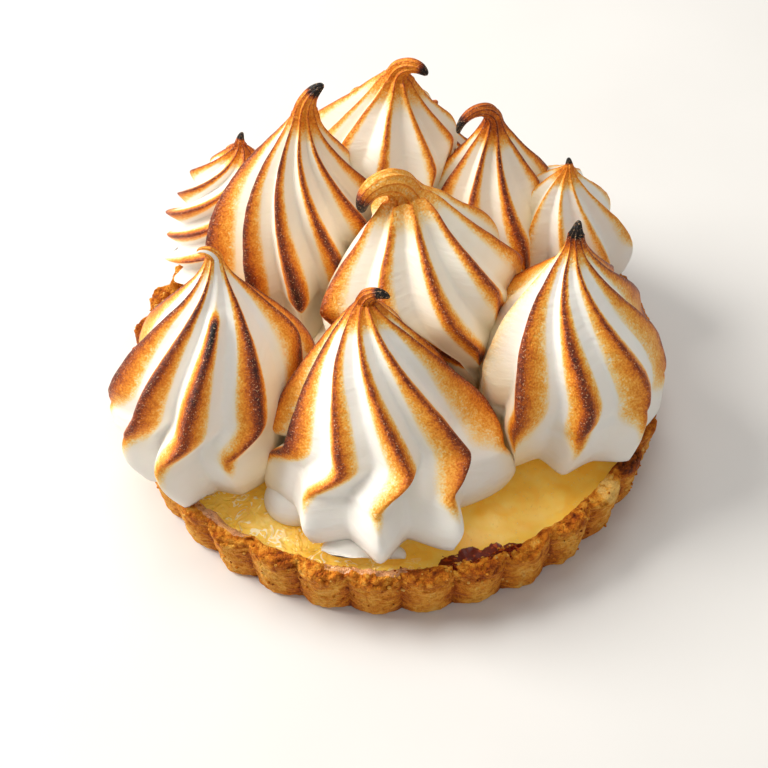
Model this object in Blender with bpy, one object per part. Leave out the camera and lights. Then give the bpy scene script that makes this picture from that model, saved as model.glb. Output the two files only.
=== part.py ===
"""A lemon meringue tart: a fluted shortcrust case, lemon curd and a pile of toasted meringue swirls.

Run with: blender --background --python part.py
Metres, +Z up. The origin is the middle of the crust's flat underside, and -Y is the tart's front.
"""

import math
import random
from collections import namedtuple

import bmesh
import bpy
from mathutils import Vector, noise

MM = 0.001

# The case, as baked in a 120 mm fluted ring
RIM_RADIUS = 60.4 * MM
FOOT_RADIUS = 59.2 * MM
CASE_HEIGHT = 14.6 * MM
WALL = 4.2 * MM
FLOOR = 4.2 * MM
FOOT_ROUND = 1.0 * MM
FLUTES = 34
FLUTE_DEPTH = 2.0 * MM
INNER_FLUTE_DEPTH = 0.7 * MM
CREASE_SHARPNESS = 0.8
POINTS_A_FLUTE = 4
CRAG_HEIGHT = 1.0 * MM
CRAG_SHARE_UP = 0.6
CRAG_SHARE_OUT = 0.35
CRAG_PITCH = 5.5 * MM
CRAGS_UP, CRAGS_OUT = Vector((3, 3, 3)), Vector((7, 7, 7))

# The curd
CURD_LEVEL = 11.6 * MM
CURD_COLUMNS = 68
CURD_WAVE = 0.35 * MM
CURD_WAVE_PITCH = 14 * MM
CURD_EDGE_DROP = 0.6 * MM
GAP = 0.3 * MM

# What the swirls rest on: the curd, or the rim where they hang over it
RIM_REST = CASE_HEIGHT + CRAG_HEIGHT + GAP
CURD_REST = CURD_LEVEL + CURD_WAVE + GAP
LEDGE_INNER = RIM_RADIUS - 8.2 * MM
LEDGE_OUTER = RIM_RADIUS - 5.6 * MM

# Piping of a swirl: stations run from 0 at its foot, by 1 at its crown, to 2 at the tip of its hook
KINK_LOW, KINK_HIGH = 0.20, 0.38
RIDGE_DEPTH = 0.24
CHANCE_SWING = 3
CHANCE_BULGE = 0.06
EVEN_LOW, EVEN_HIGH = 0.85, 1.0
SMOOTH_FOOT = 0.8
SOFT_SKIRT = 0.25
SOFT_BELOW = 0.3
SMOOTH_HOOK = 0.5
HOOK_SMOOTHED = 1.6
RAISED_WAIST = 0.14
PRESS_GAP = 0.16 * MM
SPINE_ROOM = 2.0 * MM
NEAR_COLUMNS = 6
FINE_COLUMNS = 4
COARSE_COLUMNS = 3
FRONT_STATIONS = (0.0, 0.06, 0.14, 0.22, 0.29, 0.36, 0.44, 0.53, 0.63, 0.74, 0.86, 1.0, 1.35, 1.7, 1.95)
BACK_STATIONS = (0.0, 0.07, 0.17, 0.29, 0.43, 0.57, 0.72, 0.87, 1.0, 1.5, 1.9)
SPINE_SAMPLES = 200
TIP_TAPER = 0.55
UPRIGHT = Vector((0, 0, 1))
SEED = 11

Swirl = namedtuple(
    "Swirl",
    "name foot crown radius ridges turn twist untwist kink lean skirt spread "
    "belly pinch heart neck hook heading curl firm",
)
Swirl.__doc__ = """One piped swirl. Lengths are in millimetres and angles in degrees.

foot, crown: the middle of its underside and the point where its hook begins
turn, twist, untwist, kink: where the first ridge stands at the foot, and how the ridges wind going up
lean: how late the body bows over; skirt: the station of its widest ring
spread: the width of its underside, as a share of that ring's
belly, pinch: how full it stays low down, and how fast it narrows to the neck
heart: the station whose height sets how it leans on its neighbours
neck: the radius where the hook begins
hook, heading, curl: the hook's radius, the way it points and the angle it bends through
firm: how well it keeps its width where it presses on a neighbour
"""

SWIRLS = (
    Swirl("meringue_front", (-4, -32.5, 12), (-5.2, -19.5, 52.6), 26.9, 10, -141, 12, -59, 22,
          1.1, 0.10, 0.92, 1.35, 0.95, 0.46, 1.7, 2.8, -15, 135, 0.94),
    Swirl("meringue_front_left", (-37, -18.5, 12.5), (-35.1, -8.1, 54.6), 25.4, 9, -168, -48, 74, 21,
          1.26, 0.20, 0.84, 2.21, 1.69, 0.40, 1.8, 1.8, 175, 140, 0.77),
    Swirl("meringue_front_right", (37.2, -16, 12.5), (36.6, -7.5, 56.9), 25.4, 10, -121, 59, -111, 6,
          1.0, 0.20, 0.94, 2.2, 1.95, 0.50, 1.8, 8.0, 60, 25, 0.84),
    Swirl("meringue_middle", (6, 1, 14), (2.8, 7.0, 56.8), 28.5, 10, -67, -210, 133, 0,
          2.4, 0.31, 1.05, 1.87, 1.35, 0.56, 3.8, 4.4, 205, 190, 0.91),
    Swirl("meringue_left", (-21, 22, 14), (-16.8, 25.3, 63.2), 21.8, 10, -160, 23, -85, 0,
          1.48, 0.28, 1.05, 2.14, 1.68, 0.53, 2.3, 8.0, 0, 62, 1.31),
    Swirl("meringue_back", (0, 39, 14), (3.0, 40.0, 60.6), 29.0, 10, -260, 159, -112, 0,
          2.4, 0.30, 1.0, 1.92, 1.39, 0.55, 2.0, 3.4, -20, 150, 0.99),
    Swirl("meringue_right", (23.5, 28, 14), (23.3, 30.5, 55.3), 26.0, 9, -101, -124, 74, 0,
          1.0, 0.28, 1.0, 1.05, 1.18, 0.53, 2.3, 4.3, 205, 185, 1.03),
    Swirl("meringue_far_left", (-37.5, 31, 13), (-33, 37, 45.5), 16.8, 9, -160, 250, -30, 0,
          1.2, 0.20, 0.87, 2.2, 1.0, 0.72, 1.6, 3.0, 60, 60, 0.85),
    Swirl("meringue_far_back_left", (-16, 46, 13), (-12, 52, 42), 17, 9, -150, 30, -60, 0,
          1.2, 0.20, 0.87, 1.4, 1.4, 0.72, 1.6, 3.0, 90, 60, 0.85),
    Swirl("meringue_far_back_right", (14, 46, 13), (12, 51, 40), 17, 9, -140, 30, -60, 0,
          1.2, 0.20, 0.87, 1.4, 1.4, 0.8, 1.9, 3.0, 0, 60, 0.85),
    Swirl("meringue_far_right", (39, 26, 13), (39.5, 22.5, 48), 17.5, 9, -130, 30, -60, 0,
          1.2, 0.20, 0.87, 2.0, 1.2, 0.72, 1.4, 3.0, 100, 50, 0.85),
)

# What single ridges do that others don't: how many degrees one swings aside over its whole length
# and at its foot, and how far it bulges, as a share of its reach. The rest differ by chance.
Ridge = namedtuple("Ridge", "swing foot bulge")
RIDGES = {
    "meringue_front": {
        0: Ridge(-10, 0, -0.10), 1: Ridge(-1, 0, -0.09), 2: Ridge(1, 0, -0.01),
        3: Ridge(-1, 0, 0.06), 4: Ridge(10, 0, 0.08), 9: Ridge(1, 0, 0.0),
    },
    "meringue_front_left": {
        0: Ridge(6, 13, -0.05), 1: Ridge(2, 13, -0.02), 2: Ridge(-7, 9, 0.08),
        3: Ridge(-7, 0, -0.11), 4: Ridge(9, 0, 0.01), 8: Ridge(-3, 13, -0.02),
    },
    "meringue_front_right": {
        0: Ridge(-6, 0, 0.08), 1: Ridge(-7, 0, -0.12), 2: Ridge(-2, 0, -0.14), 3: Ridge(11, 0, -0.16),
        4: Ridge(12, 0, 0.0), 5: Ridge(-1, 0, 0.10), 8: Ridge(0, 0, -0.18), 9: Ridge(-4, 0, -0.08),
    },
    "meringue_middle": {
        0: Ridge(-2, 0, 0.04), 1: Ridge(1, 0, -0.02), 2: Ridge(1, 0, -0.04), 3: Ridge(-1, 0, 0.0),
        4: Ridge(4, 0, -0.03), 5: Ridge(-3, 0, 0.08), 8: Ridge(0, 0, -0.22), 9: Ridge(4, 0, -0.30),
    },
    "meringue_left": {
        0: Ridge(4, 0, 0.05), 1: Ridge(4, 0, -0.02), 2: Ridge(-1, 0, 0.0), 3: Ridge(-4, 0, -0.03),
        4: Ridge(-3, 0, 0.01),
    },
    "meringue_back": {
        0: Ridge(13, 0, 0.09), 2: Ridge(-10, 0, -0.07), 3: Ridge(-3, 0, 0.0), 4: Ridge(3, 0, 0.01),
    },
    "meringue_right": {
        0: Ridge(-4, 0, 0.03), 1: Ridge(-4, 0, 0.0), 2: Ridge(-6, 0, -0.01), 3: Ridge(13, 0, -0.08),
        4: Ridge(3, 0, 0.06),
    },
}
NEAR, FAR = "meringue_front", "meringue_far"

SHARP_EDGE = math.radians(50)
COLOURS = {
    "crust": ((0.62, 0.33, 0.12), 0.75),
    "curd": ((0.87, 0.66, 0.14), 0.25),
    "meringue": ((0.93, 0.88, 0.78), 0.55),
}


def clear_scene():
    for old in list(bpy.data.objects):
        bpy.data.objects.remove(old, do_unlink=True)


def smoothstep(low, high, value):
    """0 at low and 1 at high, eased at both ends."""
    share = min(max((value - low) / (high - low), 0.0), 1.0)
    return share * share * (3 - 2 * share)


def make_material(name):
    colour, roughness = COLOURS[name]
    material = bpy.data.materials.new(name)
    material.use_nodes = True
    shader = material.node_tree.nodes["Principled BSDF"]
    shader.inputs["Base Color"].default_value = (*colour, 1.0)
    shader.inputs["Roughness"].default_value = roughness
    shader.inputs["Metallic"].default_value = 0.0
    return material


def turned_form(profile, columns):
    """A closed turned body from (radius, height) points, whose first and last lie on the axis."""
    bm = bmesh.new()
    points = [bm.verts.new((radius, 0, height)) for radius, height in profile]
    edges = [bm.edges.new(pair) for pair in zip(points, points[1:])]
    bmesh.ops.spin(bm, geom=points + edges, cent=(0, 0, 0), axis=(0, 0, 1),
                   angle=math.tau, steps=columns, use_merge=True)
    bmesh.ops.remove_doubles(bm, verts=bm.verts, dist=1e-7)
    return bm


def finish_object(name, bm, material, collection):
    bmesh.ops.triangulate(bm, faces=bm.faces)
    bmesh.ops.recalc_face_normals(bm, faces=bm.faces)
    mesh = bpy.data.meshes.new(name)
    bm.to_mesh(mesh)
    bm.free()
    mesh.materials.append(material)
    mesh.shade_smooth()
    mesh.set_sharp_from_angle(angle=SHARP_EDGE)
    collection.objects.link(bpy.data.objects.new(name, mesh))


def crag(place, field):
    """How far a lump of the pastry stands out here, as a share of CRAG_HEIGHT."""
    near = place / CRAG_PITCH + field
    return noise.noise(near) + 0.5 * noise.noise(near * 2.3)


def crust_profile():
    """The case in section, from the middle of its underside to the middle of its floor."""
    inner = RIM_RADIUS - WALL
    waist = (FOOT_RADIUS + RIM_RADIUS) / 2
    return (
        (0.0, 0.0),
        (FOOT_RADIUS - FOOT_ROUND, 0.0),
        (FOOT_RADIUS, FOOT_ROUND),
        (waist, CASE_HEIGHT * 0.5),
        (RIM_RADIUS, CASE_HEIGHT * 0.87),
        (RIM_RADIUS - WALL * 0.33, CASE_HEIGHT),
        (RIM_RADIUS - WALL * 0.78, CASE_HEIGHT * 0.975),
        (inner, CASE_HEIGHT * 0.84),
        (inner - 0.8 * MM, FLOOR),
        (0.0, FLOOR),
    )


def build_crust(material, collection):
    """Flutes in the turned wall and crags along its rim."""
    bm = turned_form(crust_profile(), FLUTES * POINTS_A_FLUTE)
    for vert in bm.verts:
        place = vert.co.copy()
        radius = math.hypot(place.x, place.y)
        if radius == 0:
            continue
        angle = math.atan2(place.y, place.x)
        crease = 1 - abs(math.cos(angle * FLUTES / 2)) ** CREASE_SHARPNESS
        outside = smoothstep(RIM_RADIUS - WALL * 0.8, RIM_RADIUS - WALL * 0.3, radius)
        above_curd = smoothstep(CURD_LEVEL, CASE_HEIGHT, place.z)
        depth = FLUTE_DEPTH * outside + INNER_FLUTE_DEPTH * above_curd * (1 - outside)
        craggy = CRAG_HEIGHT * smoothstep(CASE_HEIGHT * 0.6, CASE_HEIGHT, place.z)
        reach = radius - depth * crease + craggy * CRAG_SHARE_OUT * crag(place, CRAGS_OUT)
        vert.co.x = reach * math.cos(angle)
        vert.co.y = reach * math.sin(angle)
        vert.co.z += craggy * CRAG_SHARE_UP * crag(place, CRAGS_UP)
    finish_object("crust", bm, material, collection)


def build_curd(material, collection):
    """The filling, level with a slight wave, up to the inside of the wall."""
    edge = RIM_RADIUS - WALL - 2 * GAP
    profile = (
        (0.0, FLOOR + GAP),
        (edge - 0.8 * MM, FLOOR + GAP),
        (edge - 0.1 * MM, CURD_LEVEL - CURD_EDGE_DROP),
        (edge - 1.6 * MM, CURD_LEVEL),
        (edge * 0.72, CURD_LEVEL),
        (edge * 0.36, CURD_LEVEL),
        (0.0, CURD_LEVEL),
    )
    bm = turned_form(profile, CURD_COLUMNS)
    for vert in bm.verts:
        if vert.co.z > CURD_LEVEL - CURD_EDGE_DROP / 2:
            vert.co.z += CURD_WAVE * noise.noise(vert.co / CURD_WAVE_PITCH)
    finish_object("curd", bm, material, collection)


def spine_point(swirl, station):
    """The middle of the swirl at a station."""
    foot = Vector(swirl.foot) * MM
    crown = Vector(swirl.crown) * MM
    if station <= 1:
        bow = station ** swirl.lean
        return Vector((
            foot.x + (crown.x - foot.x) * bow,
            foot.y + (crown.y - foot.y) * bow,
            foot.z + (crown.z - foot.z) * station,
        ))
    heading = math.radians(swirl.heading)
    over = Vector((math.cos(heading), math.sin(heading), 0))
    bent = math.radians(swirl.curl) * (station - 1)
    return crown + swirl.hook * MM * (over * (1 - math.cos(bent)) + UPRIGHT * math.sin(bent))


def spine_frames(swirl):
    """Middle, across and along of the spine at even steps, carried up without turning."""
    step = 2 / SPINE_SAMPLES
    frames = []
    across = Vector((1, 0, 0))
    for index in range(SPINE_SAMPLES + 1):
        station = index * step
        ahead = spine_point(swirl, station + step / 2)
        behind = spine_point(swirl, max(station - step / 2, 0))
        way = (ahead - behind).normalized()
        across = (across - way * across.dot(way)).normalized()
        frames.append((spine_point(swirl, station), across.copy(), way.cross(across)))
    return frames


def raised(swirl):
    """Whether it stands up between others on a spread foot, so that its skirt hangs over them."""
    return swirl.spread >= 1


def crest_radius(swirl, station):
    """How far the ridges reach from the spine."""
    if station >= 1:
        return swirl.neck * MM * (1 - TIP_TAPER * (station - 1))
    reach, neck = swirl.radius * MM, swirl.neck * MM
    if station < swirl.skirt:
        tuck = (swirl.skirt - station) / swirl.skirt
        waist = RAISED_WAIST * math.sin(math.pi * tuck) if raised(swirl) else 0.0
        return reach * (1 - (1 - swirl.spread) * tuck * tuck - waist)
    risen = (station - swirl.skirt) / (1 - swirl.skirt)
    return neck + (reach - neck) * (1 - risen ** swirl.belly) ** swirl.pinch


def winding(swirl, station):
    """The angle of the first ridge at a station."""
    kinked = smoothstep(KINK_LOW, KINK_HIGH, station) - 1
    degrees = swirl.turn + swirl.twist * station + swirl.untwist * station ** 2 + swirl.kink * kinked
    return math.radians(degrees)


def pressing_planes(swirl):
    """Planes that keep a swirl on its own side of each neighbour, as (normal, offset)."""
    planes = []
    for other in SWIRLS:
        if other.name == swirl.name:
            continue
        mine, theirs = spine_point(swirl, swirl.heart), spine_point(other, other.heart)
        apart = theirs - mine
        reach = swirl.radius * swirl.firm
        share = reach / (reach + other.radius * other.firm)
        normal = apart.normalized()
        planes.append((normal, normal.dot(mine + apart * share) - PRESS_GAP))
    return planes


def kept_inside(start, point, planes, room=0.0):
    """The point, drawn back towards start until it is inside every plane, by room or more."""
    reach = point - start
    share = 1.0
    for normal, offset in planes:
        outward = normal.dot(reach)
        if outward > 0:
            share = min(share, (offset - room - normal.dot(start)) / outward)
    return start + reach * max(share, 0.0)


def resting_height(place):
    """The lowest that a swirl goes here: just above the curd or the rim's crags."""
    ledge = smoothstep(LEDGE_INNER, LEDGE_OUTER, math.hypot(place.x, place.y))
    return CURD_REST + (RIM_REST - CURD_REST) * ledge


def ridge_habits(swirl):
    """One Ridge for each ridge of the swirl."""
    rng = random.Random(f"{SEED}{swirl.name}")
    known = RIDGES.get(swirl.name, {})
    chance = [
        Ridge(rng.uniform(-CHANCE_SWING, CHANCE_SWING), 0, rng.uniform(-CHANCE_BULGE, CHANCE_BULGE))
        for _ in range(swirl.ridges)
    ]
    return [known.get(index, chance[index]) for index in range(swirl.ridges)]


def swung(ridges, phase, station):
    """How far the surface is swung aside here, in radians, eased from one ridge to the next."""
    before = math.floor(phase)
    share = smoothstep(0.0, 1.0, phase - before)
    low = 1 - smoothstep(KINK_LOW, KINK_HIGH, station)
    first, second = (ridges[index % len(ridges)] for index in (before, before + 1))
    degrees = (first.swing + first.foot * low) * (1 - share) + (second.swing + second.foot * low) * share
    return math.radians(degrees) * (1 - smoothstep(EVEN_LOW, EVEN_HIGH, station))


def columns_a_ridge(swirl):
    if swirl.name.startswith(NEAR):
        return NEAR_COLUMNS
    return COARSE_COLUMNS if swirl.name.startswith(FAR) else FINE_COLUMNS


def build_swirl(swirl, material, collection):
    """A ribbed form piped from a star nozzle: wide at the skirt, wound, and drawn up to a hook."""
    stations = BACK_STATIONS if swirl.name.startswith(FAR) else FRONT_STATIONS
    columns = swirl.ridges * columns_a_ridge(swirl)
    ridges = ridge_habits(swirl)
    frames = spine_frames(swirl)
    planes = pressing_planes(swirl)
    heart = spine_point(swirl, swirl.heart)
    bm = turned_form([(0.0, 0.0), *((1.0, station) for station in stations), (0.0, stations[-1])], columns)
    for vert in bm.verts:
        on_spine = math.hypot(vert.co.x, vert.co.y) < 0.5
        station = vert.co.z
        middle, across, along = frames[round(station / 2 * SPINE_SAMPLES)]
        middle = kept_inside(heart, middle, planes, SPINE_ROOM)
        if on_spine:
            root = Vector((middle.x, middle.y, RIM_REST))
            vert.co = kept_inside(heart, middle if station > 0 else root, planes)
            continue
        angle = math.atan2(vert.co.y, vert.co.x)
        phase = angle / math.tau * swirl.ridges
        lobe = 0.5 + 0.5 * math.cos(math.tau * phase)
        bulge = ridges[round(phase) % swirl.ridges].bulge * (1 - smoothstep(EVEN_LOW, EVEN_HIGH, station))
        depth = RIDGE_DEPTH * (1 - SMOOTH_HOOK * smoothstep(1.0, HOOK_SMOOTHED, station))
        if raised(swirl):
            depth *= 1 - SMOOTH_FOOT * (1 - smoothstep(0.0, swirl.skirt, station))
        else:
            depth *= 1 - SOFT_SKIRT * (1 - smoothstep(0.0, SOFT_BELOW, station))
        reach = crest_radius(swirl, station) * (1 - depth * (1 - lobe) + bulge * lobe)
        wound = angle + winding(swirl, min(station, 1.0)) + swung(ridges, phase, station)
        outward = across * math.cos(wound) + along * math.sin(wound)
        point = kept_inside(middle, middle + outward * reach, planes)
        point.z = max(point.z, resting_height(point))
        vert.co = point
    finish_object(swirl.name, bm, material, collection)


def main():
    clear_scene()
    collection = bpy.data.collections.new("lemon_tart")
    bpy.context.scene.collection.children.link(collection)
    build_crust(make_material("crust"), collection)
    build_curd(make_material("curd"), collection)
    for swirl in SWIRLS:
        build_swirl(swirl, make_material("meringue"), collection)


main()
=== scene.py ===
# %% [markdown]
# A lemon meringue tart. The real one is a fluted shortcrust case, filled with lemon curd and
# covered with a pile of star-piped meringue swirls, which a torch has browned along their ridges.
# The packed solids say where each of them is. This lesson dresses each solid with a fine mesh of
# the same sizes, and spends its effort on what the eye reads as food: ridges, crumbs and browning.

# %% Load the frame
import math
import random
from collections import namedtuple

import bmesh
import bpy
import numpy as np
from mathutils import Matrix, Vector, noise


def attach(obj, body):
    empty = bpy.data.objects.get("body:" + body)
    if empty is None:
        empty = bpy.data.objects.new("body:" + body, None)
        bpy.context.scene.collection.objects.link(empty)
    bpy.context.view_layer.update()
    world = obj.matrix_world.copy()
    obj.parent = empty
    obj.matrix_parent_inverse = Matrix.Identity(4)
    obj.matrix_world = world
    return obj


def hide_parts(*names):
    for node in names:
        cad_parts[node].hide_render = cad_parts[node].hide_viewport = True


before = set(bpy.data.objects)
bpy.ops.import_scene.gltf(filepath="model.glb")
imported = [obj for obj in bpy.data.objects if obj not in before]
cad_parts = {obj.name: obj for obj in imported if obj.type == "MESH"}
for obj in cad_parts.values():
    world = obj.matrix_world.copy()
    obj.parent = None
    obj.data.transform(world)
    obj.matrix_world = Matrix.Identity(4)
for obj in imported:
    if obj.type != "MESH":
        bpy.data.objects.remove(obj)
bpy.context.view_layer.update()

MM = 0.001
print("nodes:", sorted(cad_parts))

# %% [markdown]
# The camera stands where the tart was looked at from: about fifty degrees up and thirty centimetres
# away. Close and high, it makes the near swirls large and the far ones small, so its distance
# matters as much as its angle. A camera could be aimed with a constraint, but a matrix of its three
# directions says the same in the open, and also holds the slight roll.

# %% Camera
CAMERA_ELEVATION = math.radians(50.45)
CAMERA_ROLL = math.radians(1.83)
CAMERA_DISTANCE = 298.2 * MM
CAMERA_ASIDE = -2.2 * MM
CAMERA_ABOVE = 2.35 * MM
FOCAL_PIXELS = 1266
FRAME_PIXELS = 768
SENSOR_WIDTH = 36


def add_camera():
    back = Vector((0, -math.cos(CAMERA_ELEVATION), math.sin(CAMERA_ELEVATION)))
    right = Vector((1, 0, 0))
    up = back.cross(right)
    place = back * CAMERA_DISTANCE + right * CAMERA_ASIDE + up * CAMERA_ABOVE
    rolled_right = right * math.cos(CAMERA_ROLL) - up * math.sin(CAMERA_ROLL)
    rolled_up = right * math.sin(CAMERA_ROLL) + up * math.cos(CAMERA_ROLL)
    data = bpy.data.cameras.new("camera")
    data.sensor_width = SENSOR_WIDTH
    data.lens = FOCAL_PIXELS / FRAME_PIXELS * SENSOR_WIDTH
    data.clip_start = 10 * MM
    camera = bpy.data.objects.new("camera", data)
    columns = Matrix((rolled_right, rolled_up, back)).transposed()
    camera.matrix_world = Matrix.Translation(place) @ columns.to_4x4()
    bpy.context.scene.collection.objects.link(camera)
    bpy.context.scene.camera = camera
    return camera


camera = add_camera()
print("lens", round(camera.data.lens, 1), "mm")

# %% [markdown]
# Window light comes from the left and a little behind, wide enough to leave soft shadows, and a
# pale room fills the rest. Area lights give such light: the larger they are for their distance,
# the softer the shadow. A sun lamp would be simpler, but its light would not weaken across the
# tart as a window's does.

# %% Light
AIM = Vector((0, 0, 25 * MM))
ROOM_COLOUR = (1.0, 0.97, 0.93, 1.0)
ROOM_STRENGTH = 0.31


def soft_light(name, azimuth, elevation, distance, size, power, colour):
    """A round area light, placed by angles in degrees and aimed at the tart's middle."""
    data = bpy.data.lights.new(name, "AREA")
    data.shape = "DISK"
    data.size = size
    data.energy = power
    data.color = colour
    turn, lift = math.radians(azimuth), math.radians(elevation)
    way = Vector((math.cos(turn) * math.cos(lift), math.sin(turn) * math.cos(lift), math.sin(lift)))
    light = bpy.data.objects.new(name, data)
    turned = way.to_track_quat("Z", "Y").to_matrix().to_4x4()
    light.matrix_world = Matrix.Translation(AIM + way * distance) @ turned
    bpy.context.scene.collection.objects.link(light)


soft_light("window", azimuth=165, elevation=38, distance=0.9, size=0.55, power=10.7,
           colour=(1.0, 0.97, 0.92))
soft_light("sky", azimuth=95, elevation=70, distance=1.1, size=0.7, power=4.0,
           colour=(1.0, 0.985, 0.96))
soft_light("room", azimuth=-70, elevation=40, distance=1.3, size=0.9, power=1.8,
           colour=(1.0, 0.98, 0.95))

world = bpy.data.worlds.new("room")
world.use_nodes = True
background = world.node_tree.nodes["Background"]
background.inputs["Color"].default_value = ROOM_COLOUR
background.inputs["Strength"].default_value = ROOM_STRENGTH
bpy.context.scene.world = world
bpy.context.scene.view_settings.view_transform = "Standard"

# %% [markdown]
# Every finish below is a sum of masks, so the maths is written as plain Python. A small class
# wraps a socket: adding or multiplying two of them adds the Math node that does it. Everything
# else goes through one method that makes a node, sets it up and joins its sockets.

# %% Shader maths


class Socket:
    """One output of a shader node, which Python's operators work on."""

    def __init__(self, finish, socket):
        self.finish, self.socket = finish, socket

    def maths(self, operation, *values):
        return self.finish.node("ShaderNodeMath", {"operation": operation}, dict(enumerate(values)))

    def __add__(self, other):
        return self.maths("ADD", self, other)

    def __radd__(self, other):
        return self.maths("ADD", other, self)

    def __sub__(self, other):
        return self.maths("SUBTRACT", self, other)

    def __rsub__(self, other):
        return self.maths("SUBTRACT", other, self)

    def __mul__(self, other):
        return self.maths("MULTIPLY", self, other)

    def __rmul__(self, other):
        return self.maths("MULTIPLY", other, self)

    def between(self, low, high):
        """0 at low and 1 at high, eased at both ends."""
        sockets = {"Value": self, "From Min": low, "From Max": high}
        return self.finish.node("ShaderNodeMapRange", {"interpolation_type": "SMOOTHSTEP"}, sockets)


class Finish:
    """A material whose Principled shader is fed by masks."""

    def __init__(self, name, **constants):
        self.material = bpy.data.materials.new(name)
        self.material.use_nodes = True
        self.tree = self.material.node_tree
        self.shader = self.tree.nodes["Principled BSDF"]
        for socket, value in constants.items():
            self.shader.inputs[socket.replace("_", " ")].default_value = value
        self.place = self.node("ShaderNodeTexCoord", output="Object")

    def node(self, kind, settings=None, sockets=None, output=0):
        made = self.tree.nodes.new(kind)
        for name, value in (settings or {}).items():
            if name == "stops":
                self.set_stops(made.color_ramp, value)
            else:
                setattr(made, name, value)
        for name, value in (sockets or {}).items():
            if isinstance(value, Socket):
                self.tree.links.new(value.socket, made.inputs[name])
            else:
                made.inputs[name].default_value = value
        return Socket(self, made.outputs[output])

    def set_stops(self, ramp, stops):
        while len(ramp.elements) < len(stops):
            ramp.elements.new(1.0)
        for element, (position, colour) in zip(ramp.elements, stops):
            element.position = position
            element.color = (*colour, 1.0)

    def attribute(self, name):
        return self.node("ShaderNodeAttribute", {"attribute_name": name}, output="Fac")

    def grain(self, pitch, detail=3.0, distortion=0.0, place=None):
        """Noise from 0 to 1 with features about pitch across."""
        place = place or self.place
        sockets = {"Vector": place, "Scale": 1 / pitch, "Detail": detail, "Distortion": distortion}
        return self.node("ShaderNodeTexNoise", sockets=sockets)

    def ragged(self, name, pitch):
        """A painted mask with a sharp edge that wanders by about pitch."""
        wander = (self.grain(pitch, detail=2.0) - 0.5) * 1.2
        return (self.attribute(name) + wander).between(0.42, 0.56)

    def stretched(self, scale):
        """Places pulled out of shape, so that a pattern read from them is too."""
        return self.node("ShaderNodeMapping", sockets={"Vector": self.place, "Scale": scale})

    def ramp(self, mask, *stops):
        return self.node("ShaderNodeValToRGB", {"stops": stops}, {"Fac": mask}, output="Color")

    def mixed(self, mask, first, second):
        """The first colour where the mask is 0, the second where it is 1."""
        first, second = (c if isinstance(c, Socket) else (*c, 1.0) for c in (first, second))
        sockets = {0: mask, 6: first, 7: second}
        return self.node("ShaderNodeMix", {"data_type": "RGBA"}, sockets, output=2)

    def bump(self, height, depth):
        sockets = {"Height": height, "Distance": depth, "Strength": 1.0}
        self.feed("Normal", self.node("ShaderNodeBump", sockets=sockets))

    def feed(self, name, value):
        self.tree.links.new(value.socket, self.shader.inputs[name])


# %% [markdown]
# Meringue is white and satin until the torch touches it. Then it goes through cream, gold, orange
# and brown to black, and the sugar in it dries to fine bright specks. One number says how far a
# point has gone. Each swirl's mesh carries it as the attribute toast, and the material blurs it
# with noise at three sizes before a ramp turns it into a colour.

# %% Meringue finish
MERINGUE_WHITE = (0.90, 0.87, 0.81)
# Painted shade: the warm ivory that the creases between pressed swirls are painted with.
PAINTED_SHADE_IVORY = (0.92, 0.80, 0.58)
TOAST_STOPS = (
    (0.00, MERINGUE_WHITE),
    (0.08, (0.90, 0.845, 0.75)),
    (0.17, (0.93, 0.68, 0.30)),
    (0.27, (0.92, 0.44, 0.060)),
    (0.40, (0.78, 0.25, 0.014)),
    (0.54, (0.54, 0.120, 0.006)),
    (0.68, (0.26, 0.044, 0.006)),
    (0.85, (0.075, 0.013, 0.007)),
    (1.00, (0.010, 0.007, 0.006)),
)
SUGAR_SPECK = (0.85, 0.50, 0.26)


def meringue_finish():
    finish = Finish(
        "toasted_meringue", Subsurface_Weight=0.06, Subsurface_Scale=2.0 * MM, IOR=1.45,
        Specular_IOR_Level=0.35,
    )
    toast = finish.attribute("toast")
    browned = toast.between(0.04, 0.30)
    mottle = finish.grain(3.2 * MM) - 0.5
    blotch = finish.grain(1.1 * MM) - 0.5
    speckle = finish.grain(0.42 * MM, detail=2.0) - 0.5
    level = toast + browned * (mottle * 0.20 + blotch * 0.26 + speckle * 0.42)
    colour = finish.ramp(level, *TOAST_STOPS)
    # Painted shade: a warm ivory in the creases between pressed swirls, kept off the browned parts.
    painted_shade = finish.attribute("shelter") * (1 - browned)
    colour = finish.mixed(painted_shade, colour, PAINTED_SHADE_IVORY)
    specks = finish.grain(0.34 * MM, detail=1.0).between(0.62, 0.70) * toast.between(0.40, 0.65)
    colour = finish.mixed(specks * 0.55, colour, SUGAR_SPECK)
    finish.feed("Base Color", colour)
    finish.feed("Roughness", 0.52 - browned * 0.04 + speckle * 0.2)
    smear = finish.grain(2.4 * MM, place=finish.stretched((0.55, 0.55, 2.8)))
    finish.bump(smear * 0.35 + browned * (speckle * 0.55 + blotch * 0.5), 0.5 * MM)
    return finish.material


meringue = meringue_finish()
print("meringue nodes:", len(meringue.node_tree.nodes))

# %% [markdown]
# Each swirl is piped in one go from a star nozzle. It is wide at the skirt, its ridges wind as the
# bag turns, and the last pull draws it up to a hook. Modelling that by hand would take hours a
# swirl, and sculpting could not be repeated. So each swirl starts as a turned body, made with spin,
# and its points are then moved by rule: the height gives a point its station on a bent middle
# line, and its angle says where it is between two ridges.

# %% The swirls' sizes
CASE_HEIGHT = 14.6 * MM
RIM_RADIUS = 60.4 * MM
CURD_LEVEL = 11.6 * MM
RIM_SEAT = CASE_HEIGHT + 0.5 * MM
LEDGE_INNER = RIM_RADIUS - 8.2 * MM
LEDGE_OUTER = RIM_RADIUS - 5.6 * MM

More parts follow.
